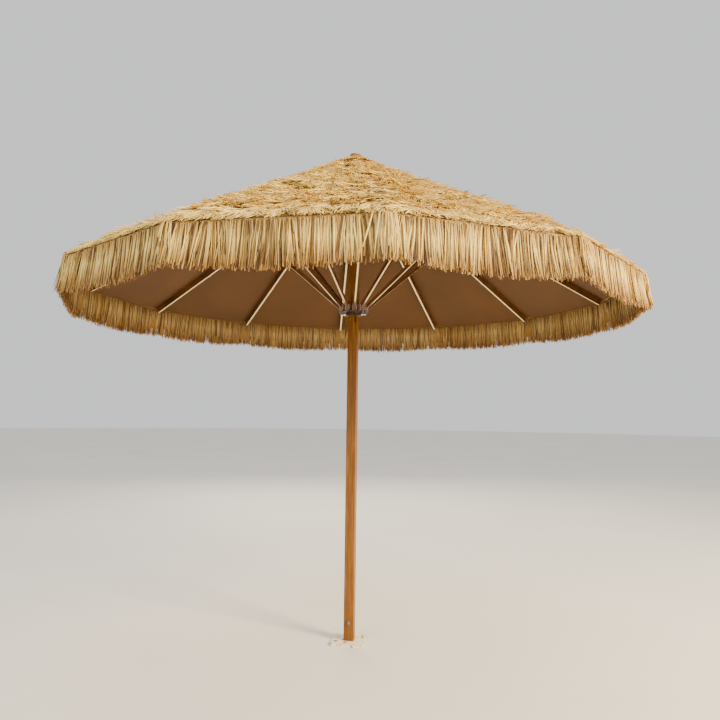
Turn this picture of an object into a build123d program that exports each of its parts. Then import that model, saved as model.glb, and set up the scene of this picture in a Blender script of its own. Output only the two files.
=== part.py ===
from build123d import *
import os
from math import atan2, cos, degrees, hypot, radians, sin, sqrt

# A thatched beach umbrella with a square mast, a base plate to bolt down, twelve ribs and a runner that
# slides on the mast. Millimetres, +Z up, with the origin at the middle of the base plate's underside.
# The mast's faces and the base plate lie along X and Y. The ribs stand at 15 degrees and every 30 from there.

# The canopy and its ribs
SECTORS = 12
STEP_DEG = 360 / SECTORS
FIRST_DEG = STEP_DEG / 2
HALF = radians(STEP_DEG / 2)  # from a rib to the middle of the panel beside it
CROWN_R, CROWN_Z = 80, 2892  # rib pivots
RIB_END_R, RIB_END_Z = 1600, 2102
RIB_WIDTH, RIB_DEPTH, RIB_WALL = 18, 40, 1.5
EDGE_R, EDGE_Z = 1667, 2122  # the roof's lower corner, outside
APEX_Z = 3004  # where the roof's outer surface would meet the axis
PEAK_Z = 3014

# The mast and its foot
MAST, MAST_WALL = 60, 3
PLATE, PLATE_T = 200, 10
BOLT_SPACING, BOLT_HOLE_R = 150, 7
FOOT_BOLT_Z = PLATE_T + 105

# The runner
RUNNER_R, RUNNER_Z = 80, 2014  # stretcher pivots
HUB_R = 92
PIN_R = 4
FIT = 0.08  # radial play of a pin in its eye
EYE_R = 10
STRETCHER_WIDTH, STRETCHER_DEPTH, STRETCHER_WALL = 16, 20, 1.5
JOINT_ALONG, JOINT_DROP = 711, 33  # the stretcher's upper pivot, along and below the rib's axis
FOLDED_DEG = 84  # a folded rib's slope

# The thatch
COURSES = 8
COURSE_T = 9
COURSE_LAP = 35
COURSE_SINK = 24  # a course's upper edge lies this far under the roof's outer surface
PEAK_R = 175
PEAK_T = 11
LINING_T = 1.5
LINING_RISE = 2.2  # over the ribs' upper faces, so that the folded panels clear their corners
LINING_IN_R, LINING_OUT_R = 100, 1632
FRINGE_T, FRINGE_TOP_Z, FRINGE_LOW_Z, FRINGE_LOW_R = 24, 2106, 1923, 1680
SEAM = 0.6  # between two half panels

os.makedirs("parts", exist_ok=True)


def save(node, solids):
    """Write one node: a group of separate solids."""
    export_step(Compound(children=list(solids)), f"parts/{node}.step")


def around(piece, index):
    """A piece drawn in the XZ plane, turned to the rib of that index."""
    return Rot(0, 0, FIRST_DEG + STEP_DEG * index) * piece


def line_plane(start, end):
    """Origin at start, X along the line to end, Y across the radial plane; points are (radius, z)."""
    run, rise = end[0] - start[0], end[1] - start[1]
    return Plane(origin=(start[0], 0, start[1]), x_dir=(run, 0, rise), z_dir=(-rise, 0, run))


def bar(first, last, width, depth, z=0):
    """A rectangular bar along X from first to last."""
    return Pos((first + last) / 2, 0, z) * Box(last - first, width, depth)


def tube(first, last, width, depth, wall):
    """A rectangular tube along X from first to last."""
    return bar(first, last, width, depth) - bar(first - 1, last + 1, width - 2 * wall, depth - 2 * wall)


def cross_pin(radius, length, x=0, z=0, y=0):
    """A round pin across the radial plane."""
    return Pos(x, y, z) * Rot(90, 0, 0) * Cylinder(radius, length)


def headed_pin(radius, length, head_r, head_t, x=0, z=0):
    """A cross pin with a head at each end; length is the part between the heads."""
    heads = cross_pin(head_r, length + 2 * head_t, x, z) - cross_pin(head_r + 1, length, x, z)
    return cross_pin(radius, length, x, z) + heads


def roof_z(radius):
    """Height of the thatch's outer surface over a rib."""
    return APEX_Z - (APEX_Z - EDGE_Z) * radius / EDGE_R


def rib_top_z(radius):
    """Height of the ribs' upper faces."""
    slope = (CROWN_Z - RIB_END_Z) / (RIB_END_R - CROWN_R)
    return RIB_END_Z + (RIB_END_R - radius) * slope + RIB_DEPTH / 2 * sqrt(1 + slope * slope)


def sector(section):
    """A section of (corner radius, z) points carried level along the two half panels that part over a rib."""
    reach = EDGE_R * HALF
    middle = Plane(origin=(0, 0, 0), x_dir=(cos(HALF), sin(HALF), 0), z_dir=(sin(HALF), -cos(HALF), 0))
    outline = Polygon(*[(r * cos(HALF), z) for r, z in section], align=None)
    panel = extrude(middle * Pos(0, 0, SEAM / 2) * outline, amount=reach, dir=middle.z_dir)
    beside = Pos(PLATE + EDGE_R / 2, (EDGE_R + SEAM) / 2, PEAK_Z / 2) * Box(2 * EDGE_R, EDGE_R, 2 * PEAK_Z)
    panel = panel & beside
    return [panel, mirror(panel, about=Plane.XZ)]


# Places worked out from the driving dimensions, as (radius, z)
crown_pivot = (CROWN_R, CROWN_Z)
rib_end = (RIB_END_R, RIB_END_Z)
runner_pivot = (RUNNER_R, RUNNER_Z)
rib_length = hypot(RIB_END_R - CROWN_R, RIB_END_Z - CROWN_Z)
along = ((RIB_END_R - CROWN_R) / rib_length, (RIB_END_Z - CROWN_Z) / rib_length)
joint = (
    CROWN_R + JOINT_ALONG * along[0] + JOINT_DROP * along[1],
    CROWN_Z + JOINT_ALONG * along[1] - JOINT_DROP * along[0],
)
stretcher_length = hypot(joint[0] - RUNNER_R, joint[1] - RUNNER_Z)
rib_plane = line_plane(crown_pivot, rib_end)
stretcher_plane = line_plane(joint, runner_pivot)


def report_fold():
    """Print the fold: the rib's turn, the runner's travel and the stretcher's turn against the rib."""
    turn = radians(FOLDED_DEG) + atan2(along[1], along[0])
    reach = hypot(joint[0] - CROWN_R, joint[1] - CROWN_Z)
    drop = atan2(CROWN_Z - joint[1], joint[0] - CROWN_R) + turn
    folded = (CROWN_R + reach * cos(drop), CROWN_Z - reach * sin(drop))
    low_z = folded[1] - sqrt(stretcher_length**2 - (folded[0] - RUNNER_R) ** 2)
    open_slope = atan2(joint[1] - RUNNER_Z, joint[0] - RUNNER_R)
    shut_slope = atan2(folded[1] - low_z, folded[0] - RUNNER_R)
    print("joint", joint, "stretcher", stretcher_length, "slope", degrees(open_slope))
    print("rib turn", turn, "travel", RUNNER_Z - low_z, "stretcher turn", turn + shut_slope - open_slope)


# Stand -------------------------------------------------------------------------------------------------

MAST_TOP = CROWN_Z + 16
SPIGOT, SPIGOT_WALL, SPIGOT_H = MAST - 2 * MAST_WALL - 0.2, 4, 200
FOOT_BOLT_R = 5
WASHER_R, WASHER_T = 10, 2
HEX_ACROSS, HEX_T = 17, 7
LATCH_X, LATCH_HIGH_Z, LATCH_LOW_Z, LATCH_HOLE_R = -20, 1960, 1929, 3
SLOT_X, SLOT_W, SLOT_H = 17, 8, 34


def square_tube(side, wall, low, high, corner):
    """An upright square tube with rounded corners."""
    outer = RectangleRounded(side, side, corner)
    inner = RectangleRounded(side - 2 * wall, side - 2 * wall, max(corner - wall, 0.5))
    return Pos(0, 0, low) * extrude(outer - inner, amount=high - low)


def make_base_plate():
    plate = Box(PLATE, PLATE, PLATE_T)
    plate = fillet(plate.edges().filter_by(Axis.Z), 6)
    holes = GridLocations(BOLT_SPACING, BOLT_SPACING, 2, 2) * Cylinder(BOLT_HOLE_R, 2 * PLATE_T)
    return [Pos(0, 0, PLATE_T / 2) * (plate - holes)]


def make_mast():
    mast = square_tube(MAST, MAST_WALL, PLATE_T, MAST_TOP, 4)
    mast -= cross_pin(FOOT_BOLT_R, 2 * MAST, z=FOOT_BOLT_Z)
    for z in (LATCH_HIGH_Z, LATCH_LOW_Z):
        mast -= cross_pin(LATCH_HOLE_R, MAST / 2, LATCH_X, z, -MAST / 2)
    slot_z = (LATCH_HIGH_Z + LATCH_LOW_Z) / 2
    mast -= Pos(SLOT_X, -MAST / 2, slot_z) * Box(SLOT_W, MAST / 2, SLOT_H)
    return [mast]


def make_spigot():
    spigot = square_tube(SPIGOT, SPIGOT_WALL, PLATE_T, PLATE_T + SPIGOT_H, 4)
    return [spigot - cross_pin(FOOT_BOLT_R, 2 * MAST, z=FOOT_BOLT_Z)]


def make_foot_bolt():
    """A hexagon bolt from the front, two washers, and the nut at the back."""
    face = MAST / 2
    hexagon = RegularPolygon(HEX_ACROSS / 2, 6, major_radius=False)
    front = Plane(origin=(0, -face - WASHER_T, FOOT_BOLT_Z), x_dir=(1, 0, 0), z_dir=(0, -1, 0))
    back = Plane(origin=(0, face + WASHER_T, FOOT_BOLT_Z), x_dir=(-1, 0, 0), z_dir=(0, 1, 0))
    length = 2 * face + 2 * WASHER_T + HEX_T + 4
    shank = front * Pos(0, 0, -length / 2) * Cylinder(FOOT_BOLT_R, length)
    bolt = front * extrude(hexagon, amount=HEX_T) + shank
    nut = back * extrude(hexagon - Circle(FOOT_BOLT_R), amount=HEX_T)
    washer = Cylinder(WASHER_R, WASHER_T) - Cylinder(FOOT_BOLT_R, 2 * WASHER_T)
    washers = [side * Pos(0, 0, -WASHER_T / 2) * washer for side in (front, back)]
    return [bolt, nut, *washers]


# Crown -------------------------------------------------------------------------------------------------

CROWN_GAP, CROWN_EAR = 12.8, 5
CROWN_HUB_R = 62
EAR_HALF_H = 16
CROWN_TOP_T = 5


def make_crown():
    """A hub on the mast's head, with a pair of ears for each rib under a round top plate."""
    hub = Cylinder(CROWN_HUB_R, 2 * EAR_HALF_H) - Box(MAST + 0.1, MAST + 0.1, 4 * EAR_HALF_H)
    crown = Pos(0, 0, CROWN_Z) * hub
    top = Cylinder(HUB_R, CROWN_TOP_T)
    crown += Pos(0, 0, CROWN_Z + EAR_HALF_H + CROWN_TOP_T / 2) * top
    width = CROWN_GAP + 2 * CROWN_EAR
    for index in range(SECTORS):
        block = bar(CROWN_HUB_R - 4, HUB_R, width, 2 * EAR_HALF_H, CROWN_Z)
        gap = bar(CROWN_HUB_R, HUB_R + 1, CROWN_GAP, 2 * EAR_HALF_H, CROWN_Z)
        hole = cross_pin(PIN_R, width + 2, CROWN_R, CROWN_Z)
        crown += around(block - gap - hole, index)
    return [crown]


def make_crown_pins():
    pin = headed_pin(PIN_R, CROWN_GAP + 2 * CROWN_EAR, 6, 2, CROWN_R, CROWN_Z)
    return [around(pin, index) for index in range(SECTORS)]


STUD_R = 6
CAP_R = 36
CAP_RIM = 8


def make_top_cap():
    """A low domed cap on a stud that stands on the crown."""
    low = roof_z(STUD_R)
    foot = MAST_TOP + CROWN_TOP_T
    stud = Pos(0, 0, (foot + low) / 2) * Cylinder(STUD_R, low - foot)
    rim = Pos(0, 0, low + CAP_RIM / 2) * Cylinder(CAP_R, CAP_RIM)
    rise = PEAK_Z - low - CAP_RIM
    dome_r = (CAP_R**2 + rise**2) / (2 * rise)
    dome = Pos(0, 0, PEAK_Z - dome_r) * Sphere(dome_r)
    dome &= Pos(0, 0, low + CAP_RIM + rise / 2) * Cylinder(CAP_R, rise)
    return [stud + rim + dome]


def make_peak_thatch():
    """The fixed cone of straw that covers the crown."""
    section = [(STUD_R, roof_z(STUD_R)), (PEAK_R, roof_z(PEAK_R))]
    section += [(r, z - PEAK_T) for r, z in reversed(section)]
    return [revolve(Plane.XZ * Polygon(*section, align=None), axis=Axis.Z)]


# Runner ------------------------------------------------------------------------------------------------

SLOT_GAP = STRETCHER_WIDTH + 0.6
CLEVIS_EAR = 5.2
CLEVIS_IN_R, CLEVIS_WEB_R = 62, 69
CLEVIS_H = 40
CLEVIS_LOW = RUNNER_Z - CLEVIS_H / 2
DISC_T = 4
COLLAR_R, COLLAR_H = 48, 20
BORE = MAST + 0.8
KNOB_R, KNOB_Z = 5, CLEVIS_LOW - DISC_T - COLLAR_H / 2
KNOB_IN, KNOB_OUT = 51, 81
WING_R, WING_T, HUB_T = 9, 5, 8


def make_runner():
    """An upper sleeve inside the clevises, the slotted disc they stand on, and a collar below it."""
    sleeve = Pos(0, 0, RUNNER_Z) * Cylinder(CLEVIS_IN_R - 0.2, CLEVIS_H)
    disc = Pos(0, 0, CLEVIS_LOW - DISC_T / 2) * Cylinder(HUB_R, DISC_T)
    collar = Pos(0, 0, KNOB_Z) * Cylinder(COLLAR_R, COLLAR_H)
    runner = sleeve + disc + collar
    runner -= Pos(0, 0, RUNNER_Z) * Box(BORE, BORE, 4 * CLEVIS_H)
    runner -= Pos(0, 0, KNOB_Z) * Rot(0, 90, 0) * Cylinder(KNOB_R + FIT, 4 * HUB_R)
    for index in range(SECTORS):
        slot = bar(CLEVIS_WEB_R, HUB_R + 5, SLOT_GAP, 2 * DISC_T, CLEVIS_LOW - DISC_T / 2)
        runner -= around(slot, index)
    return [runner]


def make_clevises():
    """Twelve blocks, each a U that opens outwards, with a short headed pin in each of its two ears."""
    width = SLOT_GAP + 2 * CLEVIS_EAR
    block = bar(CLEVIS_IN_R, HUB_R, width, CLEVIS_H, RUNNER_Z)
    block -= bar(CLEVIS_WEB_R, HUB_R + 1, SLOT_GAP, CLEVIS_H + 2, RUNNER_Z)
    block -= cross_pin(PIN_R, width + 2, RUNNER_R, RUNNER_Z)
    pins = headed_pin(PIN_R, width, 6, 2, RUNNER_R, RUNNER_Z)
    pins -= bar(0, HUB_R + 20, SLOT_GAP, CLEVIS_H, RUNNER_Z)
    pieces = [block, *pins.solids()]
    return [around(piece, index) for index in range(SECTORS) for piece in pieces]


def make_knob(side):
    """A wing screw through the collar, with its end close to the mast's side face."""
    stem_in = MAST / 2 + 0.3
    stem = Pos((stem_in + KNOB_OUT) / 2, 0, 0) * Rot(0, 90, 0) * Cylinder(KNOB_R, KNOB_OUT - stem_in)
    hub = Pos(KNOB_IN + HUB_T / 2, 0, 0) * Rot(0, 90, 0) * Cylinder(WING_R - 1, HUB_T)
    wing = Plane.XY * Polygon(
        (KNOB_IN + HUB_T, -WING_R + 1), (KNOB_OUT - 2, -WING_R), (KNOB_OUT, -WING_R + 3), (KNOB_OUT - 8, 0),
        (KNOB_OUT, WING_R - 3), (KNOB_OUT - 2, WING_R), (KNOB_IN + HUB_T, WING_R - 1), align=None,
    )
    knob = Pos(0, 0, KNOB_Z) * (stem + hub + extrude(wing, amount=WING_T / 2, both=True))
    return [knob if side > 0 else Rot(0, 0, 180) * knob]


# Ribs and stretchers -----------------------------------------------------------------------------------

RIB_START = 45  # the tube starts this far from the pivot
PLUG_IN = 40
CHEEK_T, CHEEK_HALF = 3, 22
RIVET_R = 3
STRAP_AT, STRAP_LONG, STRAP_T = 1190, 30, 2
END_CAP_T = 5


def eye_plug(width, depth, reach, inner_width, inner_depth):
    """A plug with a round eye at the origin, a full-size shank to `reach`, and a spigot inside the tube."""
    plug = cross_pin(EYE_R, width) + bar(0, reach, width, depth)
    plug += bar(reach, reach + PLUG_IN, inner_width, inner_depth)
    return plug - cross_pin(PIN_R + FIT, width + 2)


def make_rib():
    """In its own plane: X along the rib from the crown's pivot, Z up from the rib."""
    inner = (RIB_WIDTH - 2 * RIB_WALL, RIB_DEPTH - 2 * RIB_WALL)
    at = JOINT_ALONG
    body = tube(RIB_START, rib_length, RIB_WIDTH, RIB_DEPTH, RIB_WALL)
    root = eye_plug(CROWN_GAP - 0.8, 2 * EYE_R, RIB_START, *inner)
    end = bar(rib_length, rib_length + END_CAP_T, RIB_WIDTH, RIB_DEPTH)
    end += bar(rib_length - PLUG_IN, rib_length, *inner)
    outline = [(at - CHEEK_HALF, 12), (at - CHEEK_HALF, -RIB_DEPTH / 2), (at - EYE_R, -JOINT_DROP)]
    outline += [(at + EYE_R, -JOINT_DROP), (at + CHEEK_HALF, -RIB_DEPTH / 2), (at + CHEEK_HALF, 12)]
    cheek = extrude(Plane.XZ * Polygon(*outline, align=None), amount=CHEEK_T)
    cheek += Pos(0, -CHEEK_T / 2, 0) * cross_pin(EYE_R, CHEEK_T, at, -JOINT_DROP)
    cheek = Pos(0, -RIB_WIDTH / 2, 0) * cheek
    span = RIB_WIDTH + 2 * CHEEK_T
    rivets = [headed_pin(RIVET_R, span, 5, 1.5, at + shift) for shift in (-14, 14)]
    holes = [cross_pin(RIVET_R, span + 4, at + shift) for shift in (-14, 14)]
    holes.append(cross_pin(PIN_R, span + 4, at, -JOINT_DROP))
    for hole in holes:
        body -= hole
        cheek -= hole
    strap = bar(STRAP_AT, STRAP_AT + STRAP_LONG, RIB_WIDTH + 2 * STRAP_T, RIB_DEPTH / 2 + STRAP_T)
    strap = Pos(0, 0, -RIB_DEPTH / 4 - STRAP_T / 2) * strap
    strap -= bar(STRAP_AT - 1, STRAP_AT + STRAP_LONG + 1, RIB_WIDTH, RIB_DEPTH)
    pivot = headed_pin(PIN_R, span, 6.5, 2, at, -JOINT_DROP)
    return [body, root, end, cheek, mirror(cheek, about=Plane.XZ), *rivets, pivot, strap]


def make_stretcher():
    """In its own plane: X from the rib's joint to the runner."""
    inner = (STRETCHER_WIDTH - 2 * STRETCHER_WALL, STRETCHER_DEPTH - 2 * STRETCHER_WALL)
    start = EYE_R + 12
    body = tube(start, stretcher_length - start, STRETCHER_WIDTH, STRETCHER_DEPTH, STRETCHER_WALL)
    upper = eye_plug(STRETCHER_WIDTH, STRETCHER_DEPTH, start, *inner)
    lower = Pos(stretcher_length, 0, 0) * Rot(0, 0, 180) * upper
    stub = cross_pin(PIN_R + FIT, STRETCHER_WIDTH, stretcher_length)
    return [body, upper, lower, stub]


# Thatch ------------------------------------------------------------------------------------------------


def make_canopy():
    """The lining on the rib, then the courses of straw, each lapped over the next one down."""
    lining = [(r, rib_top_z(r) + LINING_RISE) for r in (LINING_IN_R, LINING_OUT_R)]
    lining += [(r, z + LINING_T) for r, z in reversed(lining)]
    pieces = sector(lining)
    pitch = (EDGE_R - PEAK_R) / COURSES
    for course in range(COURSES):
        high_r = PEAK_R + course * pitch - COURSE_LAP
        low_r = PEAK_R + (course + 1) * pitch
        under = [(high_r, roof_z(high_r) - COURSE_SINK), (low_r, roof_z(low_r) - COURSE_T)]
        over = [(r, z + COURSE_T) for r, z in reversed(under)]
        pieces += sector(under + over)
    return pieces


def make_fringe():
    """The valance: slabs of straight straw that hang from the roof's edge and lean out a little."""
    top = [(EDGE_R - FRINGE_T, FRINGE_TOP_Z), (EDGE_R, FRINGE_TOP_Z)]
    low = [(FRINGE_LOW_R, FRINGE_LOW_Z), (FRINGE_LOW_R - FRINGE_T, FRINGE_LOW_Z)]
    return sector(top + low)


def main():
    report_fold()
    save("base_plate", make_base_plate())
    save("base_spigot", make_spigot())
    save("foot_bolt", make_foot_bolt())
    save("mast", make_mast())
    save("crown", make_crown())
    save("crown_pins", make_crown_pins())
    save("top_cap", make_top_cap())
    save("peak_thatch", make_peak_thatch())
    save("runner", make_runner())
    save("runner_clevises", make_clevises())
    save("clamp_knob_left", make_knob(-1))
    save("clamp_knob_right", make_knob(1))
    rib = [rib_plane * piece for piece in make_rib()]
    stretcher = [stretcher_plane * piece for piece in make_stretcher()]
    repeated = {"rib": rib, "stretcher": stretcher, "canopy": make_canopy(), "fringe": make_fringe()}
    for name, pieces in repeated.items():
        for index in range(SECTORS):
            save(f"{name}_{index + 1:02d}", [around(piece, index) for piece in pieces])


main()
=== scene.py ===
import math

import bpy
import numpy as np
from mathutils import Euler, Matrix, Vector


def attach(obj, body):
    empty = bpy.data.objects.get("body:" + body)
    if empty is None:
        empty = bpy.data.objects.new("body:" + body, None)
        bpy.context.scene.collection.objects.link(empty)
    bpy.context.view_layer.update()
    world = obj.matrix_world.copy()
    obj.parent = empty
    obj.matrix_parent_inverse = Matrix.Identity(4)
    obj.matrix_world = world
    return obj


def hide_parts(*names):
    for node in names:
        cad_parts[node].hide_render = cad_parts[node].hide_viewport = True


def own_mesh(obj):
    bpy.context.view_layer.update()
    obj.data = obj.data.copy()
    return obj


bl_info = {
    "name": "Beach umbrella maker",
    "version": (1, 0, 0),
    "blender": (4, 5, 0),
    "location": "View3D > Sidebar > Umbrella",
    "description": "Straw thatch, valance, lining and finishes for a folding beach umbrella",
    "category": "Object",
}

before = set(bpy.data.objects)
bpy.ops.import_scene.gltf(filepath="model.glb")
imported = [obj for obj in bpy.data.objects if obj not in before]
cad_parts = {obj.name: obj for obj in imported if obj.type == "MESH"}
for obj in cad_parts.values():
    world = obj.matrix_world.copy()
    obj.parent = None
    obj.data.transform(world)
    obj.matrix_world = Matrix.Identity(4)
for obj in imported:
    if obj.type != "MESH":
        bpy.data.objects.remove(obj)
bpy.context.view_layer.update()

# The umbrella's own places, in metres. Ribs stand at FIRST and every STEP from there.
SECTORS = 12
STEP = 2 * math.pi / SECTORS
FIRST = HALF = STEP / 2
APEX_Z = 3.004
EDGE_R, EDGE_Z = 1.667, 2.110
FALL = (APEX_Z - EDGE_Z) / EDGE_R  # drop of the roof over a rib, per metre outwards
ROOF_SAG = 0.09
EDGE_DROOP = 0.012
COURSES = 8
PEAK_R = 0.175
PITCH = (EDGE_R - PEAK_R) / COURSES
LAP = 0.035
COURSE_SINK = 0.006  # how deep a course's upper end lies
CROWN_R, CROWN_Z = 0.080, 2.892
RIB_END_R, RIB_END_Z = 1.600, 2.102
RIB_DEPTH = 0.040
JOINT_R, JOINT_Z = 0.69566, 2.53483
RUNNER_R, RUNNER_Z = 0.080, 2.014
STRETCHER_DEPTH = 0.020
RIB_FALL = (CROWN_Z - RIB_END_Z) / (RIB_END_R - CROWN_R)
RIB_COS = 1 / math.hypot(1, RIB_FALL)
LINING_IN, LINING_OUT = 0.100, 1.632
FRINGE_TOP, FRINGE_LOW, FRINGE_LOW_R, FRINGE_T = 2.084, 1.923, 1.680, 0.024
HEX_DIGITS = 6


def linear(colour):
    """sRGB hex to linear RGBA: the standard curve, a line near black and a 2.4 power above it."""
    channels = np.array([int(colour[i : i + 2], 16) / 255 for i in range(0, HEX_DIGITS, 2)])
    curve = np.where(channels <= 0.04045, channels / 12.92, ((channels + 0.055) / 1.055) ** 2.4)
    return (*(float(c) for c in curve), 1.0)


def colour_property(label, description, value):
    """A colour that the sidebar shows, kept linear."""
    return bpy.props.FloatVectorProperty(
        name=label, description=description, subtype="COLOR", size=4, min=0, max=1, default=linear(value)
    )


def length_property(label, description, value):
    """A length in metres that the sidebar shows."""
    return bpy.props.FloatProperty(
        name=label, description=description, subtype="DISTANCE", unit="LENGTH", min=0, default=value
    )


class UMBRELLA_PG_thatch(bpy.types.PropertyGroup):
    """Sizes of the straw on the roof and in the valance."""

    straw_width: length_property("Straw width", "Width of one flattened straw", 0.0068)
    straw_length: length_property("Straw length", "Middle length of a roof straw", 0.115)
    ragged: length_property("Ragged ends", "How far the straw ends of a course differ", 0.012)
    density: bpy.props.FloatProperty(
        name="Straws per square metre", description="How thickly the roof is laid", min=100, default=6200
    )
    valance_straws: bpy.props.IntProperty(
        name="Valance straws", description="Straws in one sector of the valance", min=10, default=1250
    )
    seed: bpy.props.IntProperty(name="Seed", description="Start of the random draws", default=7)


class UMBRELLA_PG_colours(bpy.types.PropertyGroup):
    """Colours of the finishes."""

    straw_light: colour_property("Straw, light", "Sunlit raffia", "ffec94")
    straw_mid: colour_property("Straw", "Most of the raffia", "e6c064")
    straw_dark: colour_property("Straw, dark", "Old and shaded raffia", "80602a")
    lining: colour_property("Lining", "Woven lining under the straw", "54350a")
    mast: colour_property("Mast", "Golden wood film on the mast", "7a4c0a")
    rib_side: colour_property("Rib sides", "Dark coating on the ribs", "4a2a10")
    rib_face: colour_property("Rib lower face", "Pale strip under the ribs", "fff0b4")
    plate: colour_property("Base plate", "Sand-strewn cream paint", "fff2d2")


class UMBRELLA_PG_stage(bpy.types.PropertyGroup):
    """Camera and floor."""

    distance: length_property("Camera distance", "From the mast's axis", 3.838)
    height: length_property("Camera height", "Above the floor", 1.387)
    azimuth: bpy.props.FloatProperty(
        name="Camera azimuth", description="To the right of the front", subtype="ANGLE", default=math.radians(10.8)
    )
    lens: bpy.props.FloatProperty(name="Lens", description="Focal length", subtype="DISTANCE_CAMERA", default=30.9)
    floor: length_property("Floor radius", "Radius of the pale floor", 40)


# Mesh making -------------------------------------------------------------------------------------------


def turned(points, index):
    """Points in a rib's own frame, X outwards along the rib, turned about Z to the rib of that index."""
    angle = FIRST + STEP * index
    c, s = math.cos(angle), math.sin(angle)
    return points @ np.array([[c, s, 0], [-s, c, 0], [0, 0, 1]])


def unit(vectors):
    """Each vector divided by its length."""
    return vectors / np.maximum(np.linalg.norm(vectors, axis=-1, keepdims=True), 1e-12)


def write_mesh(name, parts, smooth=False):
    """An object from (points, quads, triangles, tags) parts laid end to end; tags are a colour per point."""
    points, quads, tris, tags, first = [], [], [], [], 0
    for verts, four, three, tag in parts:
        points.append(verts)
        quads.append(four + first)
        tris.append(three + first)
        tags.append(tag)
        first += len(verts)
    points, quads, tris, tags = (np.concatenate(x) for x in (points, quads, tris, tags))
    mesh = bpy.data.meshes.new(name)
    mesh.vertices.add(len(points))
    mesh.vertices.foreach_set("co", points.astype(np.float32).ravel())
    mesh.loops.add(4 * len(quads) + 3 * len(tris))
    mesh.loops.foreach_set("vertex_index", np.concatenate([quads.ravel(), tris.ravel()]).astype(np.int32))
    mesh.polygons.add(len(quads) + len(tris))
    starts = [4 * np.arange(len(quads)), 4 * len(quads) + 3 * np.arange(len(tris))]
    mesh.polygons.foreach_set("loop_start", np.concatenate(starts).astype(np.int32))
    mesh.update(calc_edges=True)
    if mesh.validate():
        raise RuntimeError(f"{name}: the mesh had faults")
    mesh.polygons.foreach_set("use_smooth", np.full(len(mesh.polygons), smooth))
    layer = mesh.attributes.new("straw", "FLOAT_COLOR", "POINT")
    layer.data.foreach_set("color", tags.astype(np.float32).ravel())
    made = bpy.data.objects.new(name, mesh)
    bpy.context.scene.collection.objects.link(made)
    return made


def blades(centre, across, out, width, thick, tone, inner_shade=None):
    """Straws as three-sided closed blades: each ring of corners is centre -/+ half the width across, and centre
    plus the thickness outwards. centre, across and out are (straw, ring, xyz), width and thick (straw, ring).
    Each point's tag is (tone, share of the way to the tip, how much painted shade greys the straw, 1)."""
    count, rings = centre.shape[:2]
    half = across * width[..., None] / 2
    corners = np.stack([centre - half, centre + half, centre + out * thick[..., None]], axis=2)
    first = (np.arange(count) * rings * 3)[:, None, None]
    ring = (np.arange(rings - 1) * 3)[None, :, None]
    a, b = np.arange(3)[None, None], (np.arange(3) + 1)[None, None] % 3
    low, high = first + ring, first + ring + 3
    quads = np.stack([low + a, low + b, high + b, high + a], axis=-1).reshape(-1, 4)
    caps = np.array([[2, 1, 0], [0, 1, 2]]) + np.array([[0], [3 * (rings - 1)]])
    tris = (first + caps[None]).reshape(-1, 3)
    share = np.broadcast_to(np.linspace(0, 1, rings)[None, :, None], (count, rings, 3))
    tones = np.broadcast_to(tone[:, None, None], share.shape)
    inner_shade = 0 * share if inner_shade is None else np.broadcast_to(inner_shade[:, None, None], share.shape)
    tags = np.stack([tones, share, inner_shade, np.ones_like(share)], axis=-1).reshape(-1, 4)
    return corners.reshape(-1, 3), quads, tris, tags


def slab(top, under, tone):
    """A closed slab between two grids (row, column, xyz): the upper one, the lower one turned over, and the rim
    that joins their borders. Rows run outwards and columns anticlockwise, so the upper grid faces up."""
    rows, columns = top.shape[:2]
    index = np.arange(rows * columns).reshape(rows, columns)
    a, b, c, d = index[:-1, :-1], index[1:, :-1], index[1:, 1:], index[:-1, 1:]
    upper = np.stack([a, b, c, d], axis=-1).reshape(-1, 4)
    lower = upper[:, ::-1] + index.size
    border = np.concatenate([index[0, :0:-1], index[:-1, 0], index[-1, :-1], index[:0:-1, -1]])
    after = np.roll(border, -1)
    rim = np.stack([after, border, border + index.size, after + index.size], axis=-1)
    points = np.concatenate([top.reshape(-1, 3), under.reshape(-1, 3)])
    tags = np.tile([tone, 0.5, 0.0, 1.0], (len(points), 1))
    return points, np.concatenate([upper, lower, rim]), np.empty((0, 3), int), tags


def roof_z(s):
    """Height of the roof over a rib: a straight fall from the apex that sags by x(1 - x)^2 of its way x outwards,
    most at a third of it, and droops over the edge from the rib's end by the square of the way past it."""
    share = s / EDGE_R
    droop = np.maximum(s - RIB_END_R, 0) / (EDGE_R - RIB_END_R)
    return APEX_Z - FALL * s - ROOF_SAG * share * (1 - share) ** 2 - EDGE_DROOP * droop**2


def on_roof(s, w):
    """A point of the roof in a rib's frame: s is the radius of its level line at the rib, and w the distance
    along that line, which bends back by half a sector on each side. Returns points and the panels' normals."""
    points = np.stack([s - np.abs(w) * math.sin(HALF), w * math.cos(HALF), roof_z(s)], axis=-1)
    side = np.clip(w / 0.03, -1, 1)
    steep = FALL / math.cos(HALF)
    normal = np.stack([steep * math.cos(HALF) + 0 * s, steep * math.sin(HALF) * side, 1 + 0 * s], axis=-1)
    return points, unit(normal)


def lining_z(s):
    """Height of the lining over a rib, just above the rib's upper face."""
    return RIB_END_Z + (RIB_END_R - s) * RIB_FALL + RIB_DEPTH / 2 / RIB_COS + 0.0037


def hanging_slab(t, inner, top, drop, tone):
    """A sheet 4 mm thick along the roof's edge, from inner outwards and from top down by drop. It leans out by
    70 mm for each metre that it drops."""
    s, t = np.meshgrid([inner, inner + 0.004], t, indexing="ij")
    w = t * level_half(s)
    band = np.stack([s - np.abs(w) * math.sin(HALF), w * math.cos(HALF), 0 * s + top], axis=-1)
    wider = 1 + 0.07 * drop / inner
    return slab(band, band * [wider, wider, 1] - [0, 0, drop], tone)


def level_half(s):
    """Half the length of a sector's level line."""
    return s * math.sin(HALF)


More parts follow.
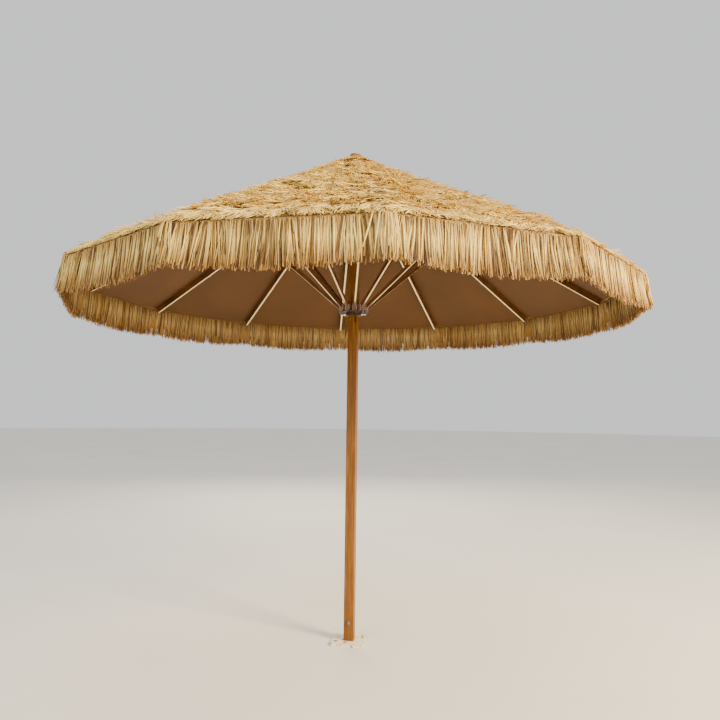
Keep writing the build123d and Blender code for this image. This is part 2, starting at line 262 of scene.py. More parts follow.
def laid_straws(rng, tip_s, tip_w, angle, length, sink, lift, flick, width, tone, rings=3):
    """Straws on the roof. A straw's centre line runs from its root to its tip at that angle to the fall line,
    with a small sideways bow, over the course's surface that sink(s) gives. It rises to lift by its middle, and
    its tip stands flick above that."""
    u = np.linspace(0, 1, rings)[None]
    down = length * np.cos(angle) / math.hypot(1, FALL)
    root_s = np.maximum(tip_s - down, 0.02)
    root_w = tip_w * root_s / tip_s - length * np.sin(angle)
    bow = rng.normal(0, 0.006, len(tip_s))[:, None] * 4 * u * (1 - u)
    s = root_s[:, None] + (tip_s - root_s)[:, None] * u
    w = root_w[:, None] + (tip_w - root_w)[:, None] * u + bow
    points, normal = on_roof(s, w)
    height = sink(s) + lift[:, None] * np.minimum(1, 2 * u) + flick[:, None] * u**3 - 0.002 * (u < 0.1)
    centre = points + normal * height[..., None]
    centre[..., 2] = np.maximum(centre[..., 2], lining_z(s) + 0.006)
    along = unit(np.gradient(centre, axis=1))
    across = unit(np.cross(normal, along))
    out = np.cross(along, across)
    roll = rng.normal(0, 0.5, len(tip_s))[:, None, None]
    across, out = across * np.cos(roll) + out * np.sin(roll), out * np.cos(roll) - across * np.sin(roll)
    taper = np.interp(u[0], [0, 0.5, 1], [0.8, 1, 0.3])[None]
    return blades(centre, across, out, width[:, None] * taper, 0.35 * width[:, None] * taper, tone)


def course_sink(course):
    """The depth of a course's surface under the roof's line, as a function of s: sunk at its upper end."""
    low = PEAK_R + (course + 1) * PITCH
    high = low - PITCH - LAP
    return lambda s: -COURSE_SINK * np.clip((low - s) / (low - high), 0, 1.3)


def course_straws(rng, course, thatch):
    """One sector of one course: straws in tufts that share a direction, half of them ending at the lower edge."""
    low = PEAK_R + (course + 1) * PITCH
    high = low - PITCH - LAP
    area = 2 * level_half((low + high) / 2) * PITCH * math.hypot(1, FALL)
    tufts = max(4, int(area * thatch.density / 9))
    per = 9
    edge = rng.random(tufts) < 0.55
    tuft_s = np.where(edge, low - np.abs(rng.normal(0, 0.014, tufts)), rng.uniform(high + 0.05, low - 0.02, tufts))
    tuft_t = rng.uniform(-1, 1, tufts)
    tuft_angle = np.clip(rng.normal(0, 0.38, tufts), -1.0, 1.0)
    tuft_lift = rng.uniform(-0.001, 0.009, tufts)
    tuft_flick = np.where(rng.random(tufts) < 0.4, rng.uniform(0.006, 0.024, tufts), rng.uniform(-0.004, 0.008, tufts))
    tuft_tone = rng.normal(0.84, 0.16, tufts)
    spread = lambda values, by: np.repeat(values, per) + rng.normal(0, by, tufts * per)
    tip_s = spread(tuft_s, thatch.ragged)
    if course == COURSES - 1:
        tip_s = np.minimum(tip_s, low + 0.008 + rng.normal(0, 0.0015, len(tip_s)))
    else:
        tip_s = np.minimum(tip_s, low + 0.016)
    tip_w = np.clip(spread(tuft_t * level_half(tuft_s), 0.014), -level_half(tip_s) - 0.01, level_half(tip_s) + 0.01)
    angle = np.clip(spread(tuft_angle, 0.30), -1.2, 1.2)
    length = thatch.straw_length * rng.uniform(0.6, 1.35, len(tip_s)) * min(1, 0.75 + 0.1 * course)
    flick = spread(tuft_flick, 0.007)
    if course == COURSES - 1:
        flick = np.where(tip_s > low - 0.03, np.minimum(flick, 0.004), flick)
    width = thatch.straw_width * rng.uniform(0.7, 1.3, len(tip_s))
    tone = np.clip(spread(tuft_tone, 0.26), 0.06, 1)
    return laid_straws(rng, tip_s, tip_w, angle, length, course_sink(course), spread(tuft_lift, 0.0015), flick,
                       width, tone)


def course_mat(course):
    """The close mat that the straws of a course are sewn on: a slab 4 mm thick under the course's surface. Its dark
    brown is painted shade, seen in the gaps between the straws.
    """
    low = PEAK_R + (course + 1) * PITCH - 0.020
    high = low - PITCH - LAP + 0.026
    s, t = np.meshgrid(np.linspace(high, low, 7), np.linspace(-1, 1, 13), indexing="ij")
    points, normal = on_roof(s, t * level_half(s))
    sink = course_sink(course)(s)[..., None]
    return slab(points + normal * (sink - 0.001), points + normal * (sink - 0.005), 0.14)


# Materials ---------------------------------------------------------------------------------------------


def add(tree, kind, settings=None, inputs=None):
    """Add a node, set its properties, and give each named input a value or a link. A ramp takes its stops as
    (place, colour) pairs."""
    made = tree.nodes.new(kind)
    for key, value in (settings or {}).items():
        if key == "stops":
            while len(made.color_ramp.elements) < len(value):
                made.color_ramp.elements.new(0.5)
            for stop, (place, colour) in zip(made.color_ramp.elements, value):
                stop.position, stop.color = place, colour
        else:
            setattr(made, key, value)
    for key, value in (inputs or {}).items():
        if isinstance(value, bpy.types.NodeSocket):
            tree.links.new(value, made.inputs[key])
        else:
            made.inputs[key].default_value = value
    return made


def new_material(name, **shader):
    """An empty material with one shader; returns it, its tree, its shader and its object coordinates."""
    made = bpy.data.materials.new(name)
    made.use_nodes = True
    tree = made.node_tree
    tree.nodes.clear()
    surface = add(tree, "ShaderNodeBsdfPrincipled", inputs=shader)
    add(tree, "ShaderNodeOutputMaterial", inputs={"Surface": surface.outputs["BSDF"]})
    return made, tree, surface, add(tree, "ShaderNodeTexCoord").outputs["Object"]


def scaled(tree, coords, scale, stretch=(1, 1, 1), detail=3, rough=0.5):
    """Noise on object coordinates with this many features per metre, drawn out by stretch."""
    mapped = add(tree, "ShaderNodeMapping", inputs={"Vector": coords, "Scale": stretch})
    settings = {"Vector": mapped.outputs["Vector"], "Scale": scale, "Detail": detail, "Roughness": rough}
    return add(tree, "ShaderNodeTexNoise", inputs=settings).outputs["Fac"]


def mixed(tree, amount, first, second, blend="MIX"):
    """A colour mix of two colours or sockets."""
    made = add(tree, "ShaderNodeMix", {"data_type": "RGBA", "blend_type": blend})
    for slot, value in ((0, amount), (6, first), (7, second)):
        if isinstance(value, bpy.types.NodeSocket):
            tree.links.new(value, made.inputs[slot])
        else:
            made.inputs[slot].default_value = value
    return made.outputs[2]


def ramped(tree, value, *stops):
    """A value turned into a colour or a grey by (place, colour) stops."""
    return add(tree, "ShaderNodeValToRGB", {"stops": stops}, {"Fac": value}).outputs["Color"]


GREY = {share: (share, share, share, 1.0) for share in (0.0, 0.25, 0.5, 0.75, 1.0)}


def finish_with(tree, surface, colour=None, roughness=None, height=None, depth=0.001):
    """Link a colour, a roughness and a bump of that depth in metres to the shader."""
    if colour is not None:
        tree.links.new(colour, surface.inputs["Base Color"])
    if roughness is not None:
        tree.links.new(roughness, surface.inputs["Roughness"])
    if height is not None:
        bump = add(tree, "ShaderNodeBump", inputs={"Strength": 1.0, "Distance": depth, "Height": height})
        tree.links.new(bump.outputs["Normal"], surface.inputs["Normal"])


def straw_material(name, colours, low=None):
    """Dried raffia, split by hand. Each strip is one tone, paler to its tip and darker towards its root, with long
    fibres and a silky face. With low, a height in metres, the strips are browner below it, where they take up damp."""
    made, tree, surface, coords = new_material(name, Roughness=0.62, IOR=1.45)
    tag = add(tree, "ShaderNodeAttribute", {"attribute_name": "straw"})
    parts = add(tree, "ShaderNodeSeparateColor", inputs={"Color": tag.outputs["Color"]})
    base = ramped(tree, parts.outputs["Red"], (0.0, linear("4a3416")), (0.12, colours.straw_dark),
                  (0.5, colours.straw_mid), (0.9, colours.straw_light))
    # blue greys a straw towards a dull brown: painted shade on the straws deep inside the valance
    base = mixed(tree, parts.outputs["Blue"], base, mixed(tree, 0.55, base, linear("a08468")))
    fibres = scaled(tree, coords, 160, (1, 1, 0.35), 2)  # 6 mm streaks, as coarse as they need to show
    base = mixed(tree, 0.35, base, ramped(tree, fibres, (0.3, linear("b09660")), (0.7, linear("fff6d8"))), "MULTIPLY")
    patches = scaled(tree, coords, 4.5)  # sun-bleached and brown patches 200 mm across
    base = mixed(tree, 0.55, base, ramped(tree, patches, (0.35, linear("f0dcb0")), (0.62, linear("ffffff"))), "MULTIPLY")
    tips = ramped(tree, parts.outputs["Green"], (0.0, linear("a88c58")), (0.4, linear("ffffff")))
    base = mixed(tree, 0.7, base, tips, "MULTIPLY")
    if low is not None:
        height = add(tree, "ShaderNodeSeparateXYZ", inputs={"Vector": coords}).outputs["Z"]
        near = add(tree, "ShaderNodeMapRange", inputs={"Value": height, "From Min": low, "From Max": low + 0.09})
        damp = ramped(tree, near.outputs["Result"], (0.0, linear("a8845a")), (1.0, linear("ffffff")))
        base = mixed(tree, 0.75, base, damp, "MULTIPLY")
    finish_with(tree, surface, base, None, fibres, 0.0012)
    return made


def lining_material(colours):
    """Polyester canvas, plain woven and piece-dyed brown: even and matt, in faint clouds of tone."""
    made, tree, surface, coords = new_material("polyester_canvas_woven", Roughness=0.85)
    weave = [
        add(tree, "ShaderNodeTexWave", {"bands_direction": way, "wave_profile": "SIN"},
            {"Vector": coords, "Scale": 90.0, "Distortion": 0.6}).outputs["Fac"]
        for way in ("X", "Y")
    ]  # threads drawn 3.5 mm apart, far coarser than cloth, so that they show
    threads = mixed(tree, 0.5, weave[0], weave[1])
    clouds = scaled(tree, coords, 3.0)
    tone = mixed(tree, 0.3, colours.lining, ramped(tree, clouds, (0.3, linear("482c0c")), (0.7, linear("6c4614"))))
    tone = mixed(tree, 0.12, tone, threads, "OVERLAY")
    finish_with(tree, surface, tone, None, threads, 0.0006)
    return made


def wood_film_material(name, light, dark, streak="5c3312"):
    """Steel tube, powder coated and wrapped in wood-grain film: long grain along the tube, satin."""
    made, tree, surface, coords = new_material(name, Roughness=0.38)
    surface.inputs["Specular IOR Level"].default_value = 0.35
    grain = scaled(tree, coords, 70, (1, 1, 0.05), 5, 0.6)  # grain lines 14 mm apart and 20 times as long
    fine = scaled(tree, coords, 260, (1, 1, 0.04), 2)
    base = ramped(tree, grain, (0.3, dark), (0.5, light), (0.75, mixed_hex(light, "c88c3c")))
    base = mixed(tree, 0.25, base, ramped(tree, fine, (0.42, linear(streak)), (0.56, linear("ffffff"))), "MULTIPLY")
    rough = ramped(tree, grain, (0.2, GREY[0.5]), (0.9, GREY[0.25]))
    finish_with(tree, surface, base, rough, fine, 0.0002)
    return made


def mixed_hex(colour, other, share=0.35):
    """A colour moved part of the way to another, both linear."""
    return tuple(a + (b - a) * share for a, b in zip(colour, linear(other)))


def tube_material(name, colours, start, end, depth, half_strip, fade):
    """Aluminium tube in brown coating, with a pale cream strip along its lower face: partly a pale face of its own,
    partly a painted highlight of the light bounced up from the floor. The tube lies in a vertical plane through the
    mast from start to end, both (radius, height), and is depth deep: a point's height over the lower face is its own
    height less that of the line between them at its radius. The strip is half_strip wide on each side of the tube's
    middle, and dies out inside the radius fade."""
    made, tree, surface, coords = new_material(name, Roughness=0.42)
    rise = (end[1] - start[1]) / (end[0] - start[0])
    under = depth / 2 * math.hypot(1, rise)
    split = add(tree, "ShaderNodeSeparateXYZ", inputs={"Vector": coords})
    flat = add(tree, "ShaderNodeCombineXYZ", inputs={"X": split.outputs["X"], "Y": split.outputs["Y"]})
    radius = add(tree, "ShaderNodeVectorMath", {"operation": "LENGTH"}, {"Vector": flat.outputs["Vector"]})
    line = {0: radius.outputs["Value"], 1: -rise, 2: start[0] * rise - start[1] + under}
    fall = add(tree, "ShaderNodeMath", {"operation": "MULTIPLY_ADD"}, line)
    height = add(tree, "ShaderNodeMath", {"operation": "ADD"}, {0: split.outputs["Z"], 1: fall.outputs["Value"]})
    span = {"Value": height.outputs["Value"], "From Min": 0.0016, "From Max": 0.0006}
    low = add(tree, "ShaderNodeMapRange", inputs=span)
    # how far aside: the tubes stand in the middle of every sector, so the angle is taken back to one sector
    angle = add(tree, "ShaderNodeMath", {"operation": "ARCTAN2"}, {0: split.outputs["Y"], 1: split.outputs["X"]})
    folded = add(tree, "ShaderNodeMath", {"operation": "FLOORED_MODULO"}, {0: angle.outputs["Value"], 1: STEP})
    turn = add(tree, "ShaderNodeMath", {"operation": "SUBTRACT"}, {0: folded.outputs["Value"], 1: FIRST})
    aside = add(tree, "ShaderNodeMath", {"operation": "MULTIPLY"}, {0: turn.outputs["Value"], 1: radius.outputs["Value"]})
    aside = add(tree, "ShaderNodeMath", {"operation": "ABSOLUTE"}, {0: aside.outputs["Value"]})
    span = {"Value": aside.outputs["Value"], "From Min": half_strip + 0.001, "From Max": half_strip}
    inside = add(tree, "ShaderNodeMapRange", inputs=span)
    both = {0: low.outputs["Result"], 1: inside.outputs["Result"]}
    strip = add(tree, "ShaderNodeMath", {"operation": "MULTIPLY"}, both)
    span = {"Value": radius.outputs["Value"], "From Min": fade, "From Max": fade + 0.025}
    clear = add(tree, "ShaderNodeMapRange", inputs=span)
    both = {0: strip.outputs["Value"], 1: clear.outputs["Result"]}
    pale = add(tree, "ShaderNodeMath", {"operation": "MULTIPLY"}, both)
    clouds = scaled(tree, coords, 9)
    side = ramped(tree, clouds, (0.3, colours.rib_side), (0.7, mixed_hex(colours.rib_side, "a06a38")))
    strip_wear_and_highlight = ramped(tree, scaled(tree, coords, 40), (0.3, mixed_hex(colours.rib_face, "e0c488")), (0.6, colours.rib_face))
    # the pale cream strip on the lower face: partly the tube's own pale face, partly a painted highlight of light
    # bounced up from the floor
    base = mixed(tree, pale.outputs["Value"], side, strip_wear_and_highlight)
    finish_with(tree, surface, base, ramped(tree, clouds, (0.0, GREY[0.25]), (1.0, GREY[0.5])), clouds, 0.0003)
    return made


def painted_material(name, light, dark, scale=30, roughness=0.45, metallic=0.0, bump=0.0003, coat=0.0):
    """A coated or bare metal: two close tones in blotches, a little grain, and uneven gloss."""
    made, tree, surface, coords = new_material(name, Roughness=roughness, Metallic=metallic)
    surface.inputs["Coat Weight"].default_value = coat
    blotch = scaled(tree, coords, scale)
    grit = scaled(tree, coords, 6 * scale, detail=4)
    base = ramped(tree, blotch, (0.35, linear(dark)), (0.62, linear(light)))
    low, high = max(roughness - 0.12, 0.05), min(roughness + 0.15, 1)
    rough = ramped(tree, grit, (0.3, (low, low, low, 1)), (0.7, (high, high, high, 1)))
    finish_with(tree, surface, base, rough, grit, bump)
    return made


def plate_material(colours):
    """Steel plate, hot-dip galvanised and painted cream, strewn with sand: gritty, with brown damp blotches."""
    made, tree, surface, coords = new_material("steel_plate_painted_sandy", Roughness=0.9)
    sand = scaled(tree, coords, 260, detail=5, rough=0.7)  # grains drawn 4 mm across so that they show
    lumps = scaled(tree, coords, 38, detail=3)
    base = ramped(tree, sand, (0.34, linear("b8a070")), (0.48, colours.plate), (0.66, linear("fffaea")))
    damp = ramped(tree, lumps, (0.37, linear("3c2e1a")), (0.45, linear("ffffff")))
    base = mixed(tree, 0.75, base, damp, "MULTIPLY")
    finish_with(tree, surface, base, None, mixed(tree, 0.5, sand, lumps), 0.004)
    return made


def give(material, *nodes):
    """Put a material on CAD nodes by name."""
    for node in nodes:
        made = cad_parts[node]
        made.data.materials.clear()
        made.data.materials.append(material)


def shared(name, maker, *settings):
    """The material of that name, made the first time it is asked for."""
    return bpy.data.materials.get(name) or maker(*settings)


def rows(node):
    """The twelve names of a repeated node."""
    return [f"{node}_{index + 1:02d}" for index in range(SECTORS)]


# Operators ---------------------------------------------------------------------------------------------


class UMBRELLA_OT_stage(bpy.types.Operator):
    """Lay the pale floor, hang the soft lights and set the camera"""

    bl_idname = "umbrella.stage"
    bl_label = "Stage"

    def execute(self, context):
        stage = context.scene.umbrella_stage
        rings = np.linspace(0, 1, 9)[:, None]
        turns = np.linspace(0, 2 * math.pi, 65)[None, :-1]
        grid = np.stack([stage.floor * rings * np.cos(turns), stage.floor * rings * np.sin(turns),
                         0 * rings * turns - 0.0005], axis=-1)
        index = np.arange(9 * 64).reshape(9, 64)
        after = np.roll(index, -1, axis=1)
        quads = np.stack([index[1:-1], index[2:], after[2:], after[1:-1]], axis=-1).reshape(-1, 4)
        tris = np.stack([index[0], index[1], after[1]], axis=-1)
        tags = np.ones((index.size, 4))
        floor = write_mesh("stage_floor", [(grid.reshape(-1, 3), quads, tris, tags)])
        made, tree, surface, coords = new_material("studio_floor_matt", Roughness=0.9)
        tone = ramped(tree, scaled(tree, coords, 0.6), (0.3, linear("e9e4da")), (0.7, linear("efeae1")))
        finish_with(tree, surface, tone)
        floor.data.materials.append(made)
        world = bpy.data.worlds.new("studio_sky")
        world.use_nodes = True
        world.node_tree.nodes.clear()
        sky = add(world.node_tree, "ShaderNodeBackground", inputs={"Color": linear("f2f3f4"), "Strength": 1.0})
        add(world.node_tree, "ShaderNodeOutputWorld", inputs={"Surface": sky.outputs["Background"]})
        context.scene.world = world
        lamps = (
            ("key_right", (6.4, -3.0, 4.3), 2.2, 1350, "ffe4b4"),
            ("fill_left", (-3.0, -6.4, 5.0), 4.0, 210, "f0f0fa"),
            ("low_front", (1.2, -6.5, 0.9), 3.0, 50, "ffecc0"),
            ("back", (-2.0, 6.0, 5.6), 4.0, 420, "fff2dc"),
        )
        for name, place, size, power, colour in lamps:
            lamp = bpy.data.lights.new(name, "AREA")
            lamp.size, lamp.energy, lamp.color = size, power, linear(colour)[:3]
            hung = bpy.data.objects.new(name, lamp)
            context.scene.collection.objects.link(hung)
            hung.rotation_euler = (Vector((0, 0, 1.7)) - Vector(place)).to_track_quat("-Z", "Y").to_euler()
            hung.location = place
        sun = bpy.data.lights.new("low_sun", "SPOT")
        sun.energy, sun.color, sun.spot_size, sun.spot_blend = 2600, linear("ffd898")[:3], math.radians(15), 0.5
        sun.shadow_soft_size = 0.15
        hung = bpy.data.objects.new("low_sun", sun)
        context.scene.collection.objects.link(hung)
        place = (7.0, -0.9, 1.1)
        hung.rotation_euler = (Vector((0, 0, 0.95)) - Vector(place)).to_track_quat("-Z", "Y").to_euler()
        hung.location = place
        view = bpy.data.cameras.new("camera")
        view.lens, view.sensor_width, view.clip_end = stage.lens, 36, 200
        camera = bpy.data.objects.new("camera", view)
        context.scene.collection.objects.link(camera)
        aside = 0.0104
        across = (math.cos(stage.azimuth), math.sin(stage.azimuth))
        place = (stage.distance * across[1] + aside * across[0], -stage.distance * across[0] + aside * across[1],
                 stage.height)
        turn = Euler((math.radians(90 + 4.58), 0, stage.azimuth - math.radians(0.51)), "XYZ").to_matrix().to_4x4()
        camera.matrix_world = Matrix.Translation(place) @ turn @ Matrix.Rotation(math.radians(0.7), 4, "Z")
        context.scene.camera = camera
        return {"FINISHED"}


class UMBRELLA_OT_lining(bpy.types.Operator):
    """Stretch one gore of brown lining over each rib"""

    bl_idname = "umbrella.lining"
    bl_label = "Lining"

    def execute(self, context):
        fabric = lining_material(context.scene.umbrella_colours)
        s, t = np.meshgrid(np.linspace(LINING_IN, LINING_OUT, 41), np.linspace(-1, 1, 33), indexing="ij")
        w = t * level_half(s)
        # x and y lie on the level line as on the roof; z is the rib's upper face, with a hollow between ribs
        # that grows outwards as the square of the way from the rib
        top_z = lining_z(s)
        hollow = 0.010 * (s / LINING_OUT) * np.sin(math.pi * np.abs(t) / 2) ** 2
        points = np.stack([s - np.abs(w) * math.sin(HALF), w * math.cos(HALF), top_z - hollow], axis=-1)
        under = points - [0, 0, 0.0016]
        for index, body in enumerate(rows("rib")):
            part = slab(turned(points, index), turned(under, index), 0.5)
            made = write_mesh(f"lining_{index + 1:02d}", [part])
            made.data.materials.append(fabric)
            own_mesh(made)
            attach(made, body)
        return {"FINISHED"}


class UMBRELLA_OT_thatch(bpy.types.Operator):
    """Lay eight courses of straw on each sector of the roof"""

    bl_idname = "umbrella.thatch"
    bl_label = "Roof thatch"

    def execute(self, context):
        thatch = context.scene.umbrella_thatch
        raffia = straw_material("raffia_split_and_dried", context.scene.umbrella_colours)
        for index, body in enumerate(rows("rib")):
            for course in range(COURSES):
                rng = np.random.default_rng(thatch.seed + 100 * index + course)
                name = f"thatch_{index + 1:02d}_{course + 1}"
                parts = [course_mat(course), course_straws(rng, course, thatch)]
                parts = [(turned(p, index), *rest) for p, *rest in parts]
                made = write_mesh(name, parts)
                made.data.materials.append(raffia)
                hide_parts(f"canopy_{index + 1:02d}")
                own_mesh(made)
                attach(made, body)
        return {"FINISHED"}


class UMBRELLA_OT_peak(bpy.types.Operator):
    """Cover the crown with a fixed cone of straw under the cap"""

    bl_idname = "umbrella.peak"
    bl_label = "Peak"

    def execute(self, context):
        thatch = context.scene.umbrella_thatch
        raffia = shared("raffia_split_and_dried", straw_material, "raffia_split_and_dried",
                        context.scene.umbrella_colours)
        rng = np.random.default_rng(thatch.seed + 5000)
        count = 1500
        s = rng.choice([0.075, 0.125, 0.180], count, p=[0.2, 0.3, 0.5]) - np.abs(rng.normal(0, 0.014, count))
        around = rng.uniform(0, 2 * math.pi, count)
        angle = np.clip(rng.normal(0, 0.4, count), -1, 1)
        length = np.minimum(rng.uniform(0.06, 0.14, count), s - 0.012)
        u = np.linspace(0, 1, 3)[None]
        root = s - length * np.cos(angle) / math.hypot(1, FALL)
        root_turn = around - length * np.sin(angle) / np.maximum(s, 0.05)
        reach = root[:, None] + (s - root)[:, None] * u
        turn = root_turn[:, None] + (around - root_turn)[:, None] * u
        lift = rng.uniform(-0.002, 0.006, count)[:, None] * u + rng.uniform(-0.002, 0.012, count)[:, None] * u**3
        outwards = np.stack([np.cos(turn), np.sin(turn), 0 * turn], axis=-1)
        normal = unit(outwards * FALL + [0, 0, 1])
        centre = outwards * reach[..., None] + np.stack([0 * reach, 0 * reach, APEX_Z - FALL * reach], axis=-1)
        centre = centre + normal * lift[..., None]
        along = unit(np.gradient(centre, axis=1))
        across = unit(np.cross(normal, along))
        width = thatch.straw_width * rng.uniform(0.7, 1.2, count)[:, None] * np.array([[0.8, 1, 0.3]])
        tone = np.clip(rng.normal(0.84, 0.28, count), 0.06, 1)
        straws = blades(centre, across, np.cross(along, across), width, 0.35 * width, tone)
        rings, turns = np.linspace(0.006, 0.170, 7)[:, None], np.linspace(0, 2 * math.pi, 49)[None]
        cone = np.stack([rings * np.cos(turns), rings * np.sin(turns), APEX_Z - FALL * rings - 0.002 + 0 * turns], -1)
        cone[:, -1] = cone[:, 0]
        # the cone under the straws is dark brown: painted shade, seen in the gaps between the straws
        made = write_mesh("peak_straw", [slab(cone, cone - [0, 0, 0.007], 0.14), straws])
        made.data.materials.append(raffia)
        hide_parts("peak_thatch")
        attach(made, "stand")
        return {"FINISHED"}


class UMBRELLA_OT_valance(bpy.types.Operator):
    """Hang the fringe of straight straw from the roof's edge"""

    bl_idname = "umbrella.valance"
    bl_label = "Valance"

    def execute(self, context):
        thatch = context.scene.umbrella_thatch
        raffia = straw_material("raffia_combed_and_hung", context.scene.umbrella_colours, FRINGE_LOW)
        half = level_half(EDGE_R)
        u = np.linspace(0, 1, 4)[None]
        for index, body in enumerate(rows("fringe")):
            rng = np.random.default_rng(thatch.seed + 7000 + index)
            count = thatch.valance_straws
            # a straw hangs from w along the edge to a tip that leans; its depth q runs through the slab
            w = rng.uniform(-half, half, count)
            w = np.where(np.abs(w) < 0.004, np.sign(w) * 0.006, w)
            q = rng.random(count)
            # tips hang in a shallow bow between two ribs, 20 mm lower at its middle
            low = FRINGE_LOW + 0.008 - 0.024 * np.sin(math.pi / 2 * np.abs(w) / half)
            tip_z = low + np.clip(rng.normal(0, 0.009, count), -0.018, 0.04) + 0.012 * (q > 0.75)
            waves = rng.uniform(0, 2 * math.pi, 3)
            swing = sum(np.sin(w / size + start) for size, start in zip((0.021, 0.047, 0.011), waves))
            lean = 0.035 * swing + rng.normal(0, 0.04, count) + (rng.random(count) < 0.08) * rng.normal(0, 0.16, count)
            top = FRINGE_TOP + rng.uniform(0.003, 0.010, count) + 0.010 * q
            z = top[:, None] + (tip_z - top)[:, None] * u
            # the outer straws stand off a little, most of all at the corners
            puff = (1 - q) * rng.uniform(0, 0.012, count) + 0.016 * np.exp(-((w / 0.05) ** 2))
            radius = EDGE_R + (FRINGE_LOW_R - EDGE_R) * u**1.5 - FRINGE_T * q[:, None] * 0.9 + puff[:, None] * u**0.8
            sway = (lean * (top - tip_z))[:, None] * u + rng.normal(0, 0.003, count)[:, None] * 4 * u * (1 - u)
            across_w = np.clip(w[:, None] + sway, -half - 0.006, half + 0.006)
            side = np.where(w < 0, -1.0, 1.0)[:, None] + 0 * z
            x = radius - np.abs(across_w) * math.sin(HALF)
            centre = np.stack([x, across_w * math.cos(HALF), z], axis=-1)
            out = np.stack([math.cos(HALF) + 0 * z, side * math.sin(HALF), 0 * z], axis=-1)
            along = unit(np.gradient(centre, axis=1))
            across = unit(np.cross(out, along))
            out = np.cross(along, across)
            roll = rng.normal(0, 0.45, count)[:, None, None]
            across, out = across * np.cos(roll) + out * np.sin(roll), out * np.cos(roll) - across * np.sin(roll)
            width = thatch.straw_width * rng.uniform(0.6, 1.05, count)[:, None] * np.array([[0.9, 1, 0.95, 0.6]])
            # over a third of the straws are near black, and each straw is darker the deeper it lies: painted shade for
            # the gaps between the straws and the inside of the fringe
            shaded = rng.random(count) < 0.36
            tone = np.where(shaded, rng.uniform(0.02, 0.26, count), rng.uniform(0.5, 1.05, count)) - 0.1 * q
            tone = np.clip(tone, 0.02, 1)
            # the deeper a straw lies in the valance, the greyer it is: painted shade for the inside of the fringe
            straws = blades(centre, across, out, width, 0.3 * width, tone, np.clip(2 * q - 0.9, 0, 1))
            # straws that run off the roof over the rib's corner and down the valance
            over = 16
            v = np.linspace(0, 1, 5)[None]
            corner_w = np.clip(rng.normal(0, 0.022, over), -0.06, 0.06)
            drop = rng.uniform(0.05, 0.16, over)[:, None]
            start = rng.uniform(0.01, 0.09, over)[:, None]
            past = np.interp(v, [0, 0.25, 0.5, 1], [-1, 0.002, 0.012, 0.020])
            corner_s = EDGE_R + np.where(past < 0, past * start, past)
            on_top = roof_z(corner_s) + np.where(v < 0.1, -0.003, 0.003)
            corner_z = np.where(v < 0.3, on_top, roof_z(EDGE_R) - drop * (v - 0.25) / 0.75)
            fan = corner_w[:, None] * (0.7 + 0.8 * v)
            corner = np.stack([corner_s - np.abs(fan) * math.sin(HALF), fan * math.cos(HALF), corner_z], axis=-1)
            along = unit(np.gradient(corner, axis=1))
            level = np.broadcast_to(np.array([0.0, 1.0, 0.0]), corner.shape)
            outer = unit(np.cross(along, level))
            corner_width = thatch.straw_width * rng.uniform(0.6, 1.0, over)[:, None] * np.array([[0.9, 1, 1, 0.95, 0.6]])
            corner_tone = np.clip(rng.normal(0.5, 0.25, over), 0.06, 1)
            corners = blades(corner, np.cross(outer, along), outer, corner_width, 0.3 * corner_width, corner_tone)
            # the tape that the straws are sewn to, near black: a painted shadow line along the top of the valance;
            # and the close inner straws halfway through the fringe, dark brown: painted shade in the gaps between the
            # straws
            t = np.linspace(-1, 1, 13)
            shadow_tape = hanging_slab(t, EDGE_R - 0.027, FRINGE_TOP + 0.029, 0.016, 0.08)
            shade_backing = hanging_slab(t, EDGE_R - 0.014, FRINGE_TOP + 0.016, 0.130, 0.22)
            # short straws under the lowest course close the fold's gap between roof and valance
            under = 170
            laid = (EDGE_R - 0.012 + rng.uniform(-0.004, 0.002, under), rng.uniform(-half, half, under),
                    rng.normal(0, 0.12, under), rng.uniform(0.07, 0.11, under))
            flat = np.full(under, -0.002)
            flap = laid_straws(rng, *laid, lambda s: -0.009 + 0 * s, flat, flat, np.full(under, thatch.straw_width),
                               np.clip(rng.normal(0.45, 0.2, under), 0.1, 1))
            parts = [(turned(p, index), *rest) for p, *rest in (shadow_tape, shade_backing, flap, corners, straws)]
            made = write_mesh(f"valance_{index + 1:02d}", parts)
            made.data.materials.append(raffia)
            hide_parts(body)
            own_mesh(made)
            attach(made, body)
        return {"FINISHED"}


class UMBRELLA_OT_mast(bpy.types.Operator):
    """Finish the mast, the cap and the foot"""

    bl_idname = "umbrella.mast"
    bl_label = "Mast and foot"

    def execute(self, context):
        colours = context.scene.umbrella_colours
        give(wood_film_material("steel_tube_wood_film", colours.mast, mixed_hex(colours.mast, "5c3312", 0.45)), "mast")
        give(plate_material(colours), "base_plate")
        # Zinc-plated steel: grey, dulled in blotches by the weather
        give(painted_material("steel_zinc_plated", "a8a49a", "5a5248", 60, 0.45, 0.9), "foot_bolt", "base_spigot",
             "crown_pins")
        # Polypropylene, moulded: reddish brown, matt, chalky where the sun has faded it
        give(painted_material("polypropylene_moulded", "a07460", "7a4a36", 22, 0.6), "top_cap")
        return {"FINISHED"}


class UMBRELLA_OT_hub(bpy.types.Operator):
    """Finish the crown, the runner and its wing screws"""

    bl_idname = "umbrella.hub"
    bl_label = "Hubs"

    def execute(self, context):
        # Cast aluminium, coated dark brown, near black in blotches. The clevises take a lighter, violet brown copy of
        # the same
        # cast aluminium: a painted highlight, where the light catches their edges.
        give(painted_material("aluminium_cast_coated", "4a3428", "20120c", 45, 0.45), "runner", "crown")
        give(painted_material("aluminium_cast_painted_highlight", "b09a90", "7a6258", 55, 0.4), "runner_clevises")
        # Zinc die casting, polished and chromed
        give(painted_material("zinc_cast_chromed", "f4f2ee", "d8d4cc", 80, 0.16, 1.0), "clamp_knob_left",
             "clamp_knob_right")
        return {"FINISHED"}


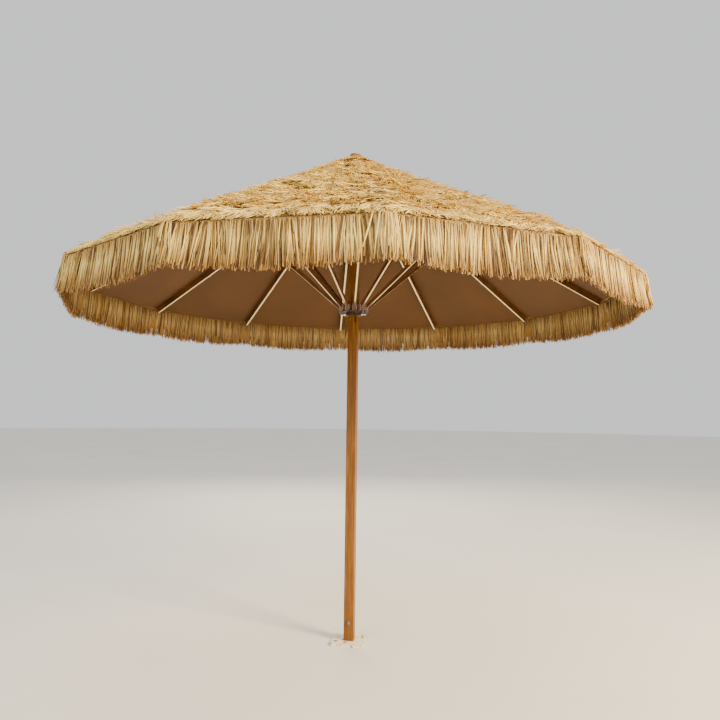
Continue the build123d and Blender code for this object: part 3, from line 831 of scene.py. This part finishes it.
class UMBRELLA_OT_ribs(bpy.types.Operator):
    """Finish the ribs and the stretchers"""

    bl_idname = "umbrella.ribs"
    bl_label = "Ribs and stretchers"

    def execute(self, context):
        colours = context.scene.umbrella_colours
        ends = (CROWN_R, CROWN_Z), (RIB_END_R, RIB_END_Z)
        give(tube_material("aluminium_rib_coated", colours, *ends, RIB_DEPTH, 0.005, 0.1), *rows("rib"))
        ends = (RUNNER_R, RUNNER_Z), (JOINT_R, JOINT_Z)
        coated = tube_material("aluminium_stretcher_coated", colours, *ends, STRETCHER_DEPTH, 0.0038, 0.118)
        give(coated, *rows("stretcher"))
        return {"FINISHED"}


class UMBRELLA_PT_panel(bpy.types.Panel):
    """The umbrella's makers, in the 3D view's sidebar"""

    bl_label = "Beach umbrella"
    bl_idname = "UMBRELLA_PT_panel"
    bl_space_type = "VIEW_3D"
    bl_region_type = "UI"
    bl_category = "Umbrella"

    def draw(self, context):
        for group in GROUPS:
            settings = getattr(context.scene, group)
            for name in settings.bl_rna.properties.keys():
                if name not in ("rna_type", "name"):
                    self.layout.prop(settings, name)
        for maker in OPERATORS:
            self.layout.operator(maker.bl_idname)


GROUPS = {
    "umbrella_thatch": UMBRELLA_PG_thatch,
    "umbrella_colours": UMBRELLA_PG_colours,
    "umbrella_stage": UMBRELLA_PG_stage,
}
OPERATORS = (
    UMBRELLA_OT_stage,
    UMBRELLA_OT_lining,
    UMBRELLA_OT_thatch,
    UMBRELLA_OT_peak,
    UMBRELLA_OT_valance,
    UMBRELLA_OT_mast,
    UMBRELLA_OT_hub,
    UMBRELLA_OT_ribs,
)
CLASSES = (*GROUPS.values(), *OPERATORS, UMBRELLA_PT_panel)


def register():
    for each in CLASSES:
        bpy.utils.register_class(each)
    for name, group in GROUPS.items():
        setattr(bpy.types.Scene, name, bpy.props.PointerProperty(type=group))


def unregister():
    for name in GROUPS:
        delattr(bpy.types.Scene, name)
    for each in reversed(CLASSES):
        bpy.utils.unregister_class(each)


def main():
    register()
    bpy.ops.umbrella.stage()
    bpy.ops.umbrella.lining()
    bpy.ops.umbrella.thatch()
    bpy.ops.umbrella.peak()
    bpy.ops.umbrella.valance()
    bpy.ops.umbrella.mast()
    bpy.ops.umbrella.hub()
    bpy.ops.umbrella.ribs()


if __name__ == "__main__":
    main()
